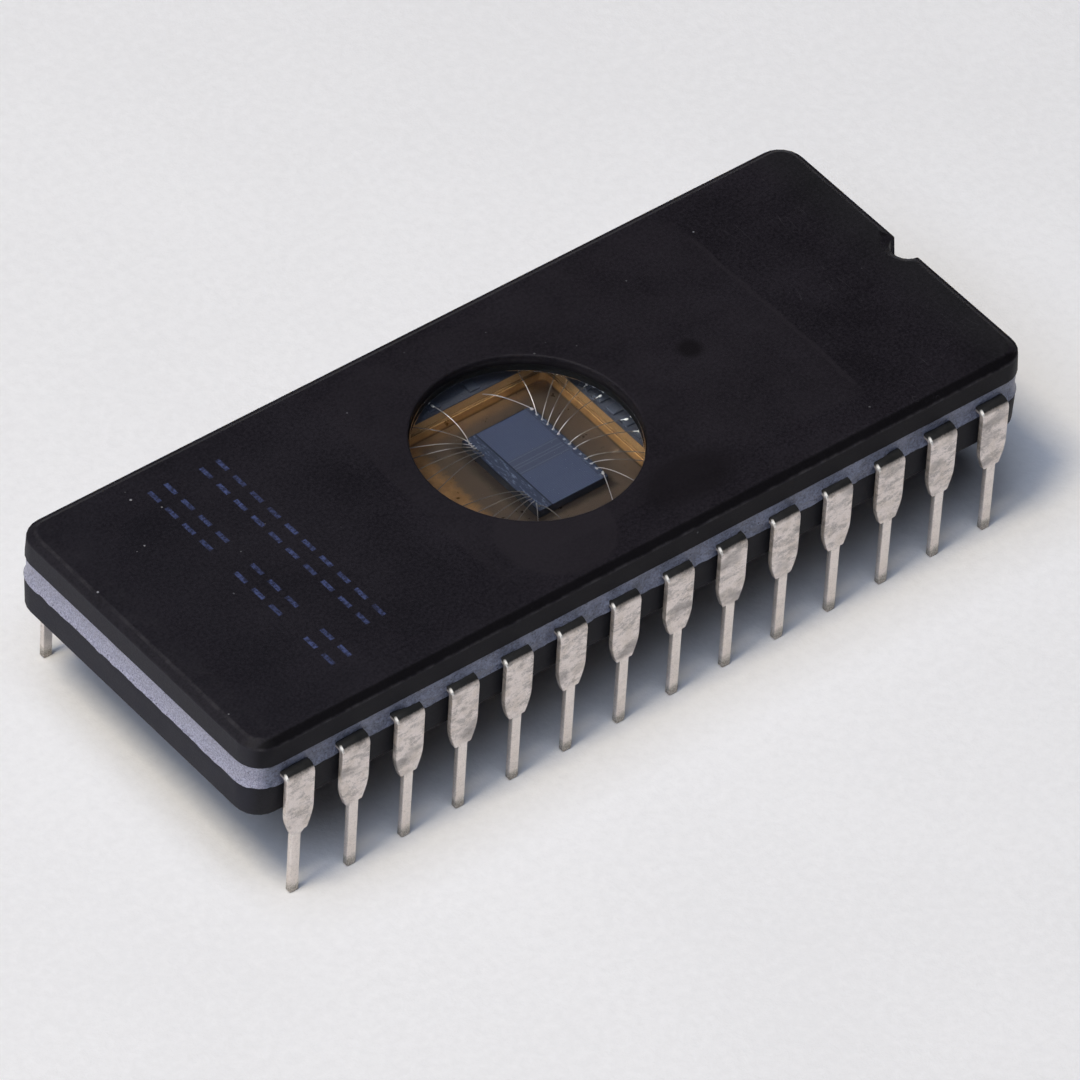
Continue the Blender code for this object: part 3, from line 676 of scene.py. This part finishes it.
fritSkin = {
    "inset": 0.03,           # how far the glass stays behind the ceramic edges
    "lap": 0.02,             # how far its lowest edge stands out over the base
    "lip": 0.075,            # how far it has run down over the base in places
    "waist": 0.05,           # how much deeper it is half way up
    "step": 0.16,            # spacing of the columns round the body
    "levels": 9,
    "ripple": 0.035,
    "meniscus": 0.16,        # glass drawn out along each lead
    "reach": 0.62,           # and how far round the lead that starts
    "leadHalf": 0.62,        # half of a lead's width where it leaves the glass
    "leadHeight": 6.245,
    "rowBand": 0.5,          # only this close to the long sides
    "core": (17.3, 6.2),     # the ripple pushes out from this middle block
    "depth": 0.5,            # the skin's thickness into the body
    "corner": 1.1,
    "notch": 0.64,
    "turns": 12,             # steps round each corner and the notch
    # share, scale round the body and scale upwards of each wave in the skin
    "waves": ((1.0, 1.7, 2.4), (0.6, 5.0, 6.0)),
    # share, scale and seed of each wave in its edges, and how much of them runs down
    "edgeWaves": ((1.0, 1.9, 3.7), (0.7, 6.1, 8.1)),
    "edgeShift": 0.3,
}


def leadPlaces():        # each lead's place along the body, and its side as 1 or -1
    for pin in leadPins:
        low, high = spanOf(f"lead_{pin:02d}")
        yield (low.x + high.x) / 2, math.copysign(1.0, low.y + high.y)


def bodyOutline(inset, step):        # points round the body, with the notch in its +X end
    halfLength, halfWidth = baseHigh.x - inset, baseHigh.y - inset
    radius, notch = fritSkin["corner"] - inset, fritSkin["notch"] + inset
    mouth = math.acos(-inset / notch)
    arcs = [(halfLength + inset, 0.0, notch, 2 * math.pi - mouth, mouth)]
    for across, up, start in ((1, 1, 0), (-1, 1, 90), (-1, -1, 180), (1, -1, 270)):
        middleX, middleY = across * (halfLength - radius), up * (halfWidth - radius)
        arcs.append((middleX, middleY, radius, math.radians(start), math.radians(start + 90)))
    line = []
    turns = fritSkin["turns"]
    for middleX, middleY, size, start, end in arcs:
        for turn in range(turns + 1):
            angle = start + (end - start) * turn / turns
            line.append(Vector((middleX + size * math.cos(angle),
                                middleY + size * math.sin(angle), 0.0)))
    points = []
    for here, after in zip(line, line[1:] + line[:1]):
        parts = max(1, round((after - here).length / step))
        points += [here.lerp(after, part / parts) for part in range(parts)]
    return points


def makeFritSkin():        # waisted, rippled, and drawn out along each lead
    look = fritSkin
    low, high = baseHigh.z, capLow.z
    leads = list(leadPlaces())
    coreX, coreY = look["core"]
    bm = bmesh.new()
    rings = []
    for level in range(look["levels"]):
        share = level / (look["levels"] - 1)
        height = low + (high - low) * share
        inset = look["inset"] + look["waist"] * math.sin(share * math.pi) if level else -look["lap"]
        verts = []
        for point in bodyOutline(inset, look["step"]):
            out = Vector((0.0, math.copysign(1.0, point.y), 0.0))
            if abs(point.y) > baseHigh.y - look["rowBand"]:
                nearest = min(abs(point.x - x) for x, side in leads if side == out.y)
                gap = math.hypot(max(nearest - look["leadHalf"], 0.0),
                                 (height - look["leadHeight"]) * 0.9)
                pull = max(0.0, 1.0 - gap / look["reach"]) ** 2
                point += out * look["meniscus"] * pull
            lift = sum(part * noise.noise(Vector((point.x * scale, point.y * scale, height * rise)))
                       for part, scale, rise in look["waves"])
            core = Vector((max(min(point.x, coreX), -coreX), max(min(point.y, coreY), -coreY), 0.0))
            away = Vector((point.x, point.y, 0.0)) - core
            point += away.normalized() * look["ripple"] * (lift if level else 0.2 * lift)
            edge = sum(part * noise.noise(Vector((point.x * scale, point.y * scale, seed)))
                       for part, scale, seed in look["edgeWaves"])
            drop = look["lip"] * max(0.0, edge + look["edgeShift"])
            point.z = height - (0 if level else drop)
            verts.append(bm.verts.new(point * mm))
        rings.append(verts)
    for height in (high, low):        # and back inside the body
        back = bodyOutline(look["depth"], look["step"])
        rings.append([bm.verts.new((point.x * mm, point.y * mm, height * mm)) for point in back])
    loops = []
    for verts in rings:
        loops.append([bm.edges.new((a, b)) for a, b in zip(verts, verts[1:] + verts[:1])])
    for lower, upper in zip(loops, loops[1:] + loops[:1]):
        bmesh.ops.bridge_loops(bm, edges=lower + upper)
    bmesh.ops.recalc_face_normals(bm, faces=bm.faces)
    addPiece(bm, "glass_seam", "frit")


wireForm = {
    "radius": 0.017,
    "arch": 0.28,
    "lean": 0.75,            # under one, the arch is highest near the die
    "fullness": 0.9,
    "steps": 24,
    "sides": 8,
    "feet": ((0.15, 0.060, 0.020), (0.18, 0.105, 0.034)),      # on the die and on the finger
    "sink": 0.5,             # of the radius, that a foot lies below the middle line
}


def farEndHeight(points, end):        # height of a wire's middle line at its far end
    near = [point.z for point in points if abs(point.x - end.x) < 0.03]
    return (min(near) + max(near)) / 2


def makeWires():        # with flattened ends, all in one piece
    look = wireForm
    names = sorted(name for name in nodes if name.startswith("bond_wire_"))
    bm = bmesh.new()
    for name in names:
        low, high = spanOf(name)
        points = [nodes[name].matrix_world @ vert.co / mm for vert in nodes[name].data.vertices]
        side = 1.0 if (low.x + high.x) / 2 > (dieLow.x + dieHigh.x) / 2 else -1.0
        start = min(points, key=lambda point: point.x * side)
        end = max(points, key=lambda point: point.x * side)
        start = Vector((start.x, start.y, low.z + look["radius"]))
        end = Vector((end.x, end.y, farEndHeight(points, end)))
        run = end - start
        flat = run.xy.length
        ahead = Vector((run.x, run.y, 0.0)).normalized()
        across = Vector((-ahead.y, ahead.x, 0.0))
        before = []
        for step in range(look["steps"] + 1):
            share = step / look["steps"]
            middle = start.lerp(end, share)
            if 0.0 < share < 1.0:
                middle.z += look["arch"] * math.sin(math.pi * share ** look["lean"]) ** look["fullness"]
            atEnd = step in (0, look["steps"])
            ring = bmesh.ops.create_circle(bm, cap_ends=atEnd, segments=look["sides"],
                                           radius=look["radius"] * mm)["verts"]
            slope = (run.z + look["arch"] * math.pi * math.cos(math.pi * share)) / flat
            along = (ahead + Vector((0.0, 0.0, slope))).normalized()
            up = along.cross(across)
            turn = Matrix((across, up, along)).transposed().to_4x4()
            bmesh.ops.transform(bm, matrix=Matrix.Translation(middle * mm) @ turn, verts=ring)
            edges = list({edge for vert in ring for edge in vert.link_edges})
            if before:
                bmesh.ops.bridge_loops(bm, edges=before + edges)
            before = edges
        for place, (length, breadth, height) in zip((start, end), look["feet"]):
            blob = bmesh.ops.create_icosphere(bm, subdivisions=2, radius=1.0)["verts"]
            turn = Matrix((ahead, across, Vector((0, 0, 1)))).transposed().to_4x4()
            size = Matrix.Diagonal((length / 2 * mm, breadth / 2 * mm, height * mm, 1.0))
            spot = Vector((place.x, place.y, place.z - look["radius"] * look["sink"])) * mm
            bmesh.ops.transform(bm, matrix=Matrix.Translation(spot) @ turn @ size, verts=blob)
    bmesh.ops.recalc_face_normals(bm, faces=bm.faces)
    addPiece(bm, "bond_wires", "wire", names)


def makeWindow():
    piece = addPiece(mergedCopy("window_lens"), "window_pane", "lens", ["window_lens"])
    piece.data.materials.append(materials["rim"])
    for face in piece.data.polygons:
        face.material_index = 1 if abs(face.normal.z) < 0.5 else 0


def makeInside():
    for node, name, material, slot in (("gold_cavity_lining", "gold_tray", "gold", "cavity_gold"),
                                       ("silicon_die", "die", "die", "silicon")):
        bm = mergedCopy(node)
        roundEdges(bm, insideEdges)
        addPiece(bm, name, material, [node])


makeHalves()
makeLeads()
makeFritSkin()
makeWindow()
makeInside()
makeWires()
for holder in nodes["sealing_glass"].material_slots:
    holder.material = materials["frit"]


# Floor, light and camera

paper = {
    "light": (0.94, 0.935, 0.945),
    "dark": (0.89, 0.885, 0.895),
    "size": 3.0,
    "fibre": 0.03,
    "fade": (120.0, 400.0),     # out here it takes the tone of the backdrop, for low views
}


def makeFloor():
    material, tree, shader = newMaterial("paper", 0.9, specular=0.1)
    where = places(tree)
    cloud = grain(tree, where, 0.06, 3.0)
    fibres = grain(tree, where, 2.2, 5.0, 0.7)
    mottle = calc(tree, "ADD", product(tree, cloud, 0.4), product(tree, fibres, 0.6))
    color = blend(tree, remap(tree, mottle, 0.35, 0.65), paper["dark"], paper["light"])
    tree.links.new(color, shader.inputs["Base Color"])
    relief(tree, shader, fibres, paper["fibre"])
    path = addNode(tree, "LightPath").outputs
    seen = calc(tree, "MAXIMUM", path["Is Camera Ray"],
                calc(tree, "MAXIMUM", path["Is Glossy Ray"], path["Is Transmission Ray"]))
    far = calc(tree, "SUBTRACT", 1.0, nearBy(tree, where, (0.0, 0.0, 0.0), *paper["fade"]))
    glow = addNode(tree, "Emission", {"Color": (*sky["backdrop"], 1.0)})
    mixer = addNode(tree, "MixShader", {0: product(tree, seen, far)})
    tree.links.new(shader.outputs["BSDF"], mixer.inputs[1])
    tree.links.new(glow.outputs["Emission"], mixer.inputs[2])
    tree.links.new(mixer.outputs[0], tree.nodes["Material Output"].inputs["Surface"])
    bm = bmesh.new()
    bmesh.ops.create_grid(bm, x_segments=1, y_segments=1, size=paper["size"])
    mesh = bpy.data.meshes.new("paper")
    bm.to_mesh(mesh)
    bm.free()
    mesh.materials.append(material)
    floor = bpy.data.objects.new("paper", mesh)
    bpy.context.scene.collection.objects.link(floor)


# the azimuth counts from +X, and the level is what a facing surface gets
lamps = {
    "key": {"azimuth": 181, "elevation": 65.8, "distance": 800, "size": 180, "level": 0.465,
            "color": (1.0, 0.86, 0.61)},
    "sheet": {"azimuth": 190, "elevation": 66.2, "distance": 800, "size": 780, "level": 0.865,
              "color": (0.725, 0.815, 1.0)},
}
sky = {
    "color": (0.004, 0.005, 0.008),
    "backdrop": (0.81, 0.81, 0.82),
    "horizon": (0.046, 0.056),          # the backdrop fades out between these heights
}


def makeLight():
    for name, look in lamps.items():
        distance = look["distance"] * mm
        lamp = bpy.data.lights.new(name, "AREA")
        lamp.size = look["size"] * mm
        lamp.energy = look["level"] * math.pi ** 2 * distance ** 2
        lamp.color = look["color"]
        a, e = math.radians(look["azimuth"]), math.radians(look["elevation"])
        away = Vector((math.cos(a) * math.cos(e), math.sin(a) * math.cos(e), math.sin(e)))
        holder = bpy.data.objects.new(name, lamp)
        holder.location = away * distance
        holder.rotation_euler = away.to_track_quat("Z", "Y").to_euler()
        bpy.context.scene.collection.objects.link(holder)
    world = bpy.data.worlds.new("studio")
    world.use_nodes = True
    tree = world.node_tree
    background = tree.nodes["Background"]
    upward = axesOf(tree, addNode(tree, "TexCoord").outputs["Generated"])[2]
    color = blend(tree, remap(tree, upward, *sky["horizon"]), sky["backdrop"], sky["color"])
    tree.links.new(color, background.inputs["Color"])
    bpy.context.scene.world = world


picture = {
    "azimuth": 41.0,       # degrees that the camera stands round towards -X from straight in front
    "elevation": 44.0,
    "roll": 3.7,
    "distance": 450.0,
    "pixelsPerMm": 26.7,
    "pixels": 1080,
    "sensor": 36.0,
    "clip": (0.01, 20.0),  # metres
    "middle": 4.0,         # height of the part's middle
    "aim": (0.64, -0.97),  # millimetres right and up of that
}


def makeCamera():
    look = picture
    a, e, turn = (math.radians(look[key]) for key in ("azimuth", "elevation", "roll"))
    back = Vector((-math.sin(a) * math.cos(e), -math.cos(a) * math.cos(e), math.sin(e)))
    right = Vector((math.cos(a), -math.sin(a), 0.0))
    up = back.cross(right)
    right, up = (right * math.cos(turn) + up * math.sin(turn),
                 up * math.cos(turn) - right * math.sin(turn))
    middle = Vector((0.0, 0.0, look["middle"])) + right * look["aim"][0] + up * look["aim"][1]
    data = bpy.data.cameras.new("camera")
    data.sensor_width = look["sensor"]
    data.lens = look["pixelsPerMm"] * look["distance"] / look["pixels"] * look["sensor"]
    data.clip_start, data.clip_end = look["clip"]
    camera = bpy.data.objects.new("camera", data)
    turned = Matrix((right, up, back)).transposed().to_4x4()
    camera.matrix_world = Matrix.Translation((middle + back * look["distance"]) * mm) @ turned
    bpy.context.scene.collection.objects.link(camera)
    bpy.context.scene.camera = camera


makeFloor()
makeLight()
makeCamera()
bpy.context.scene.view_settings.view_transform = "Standard"
print("stage set")
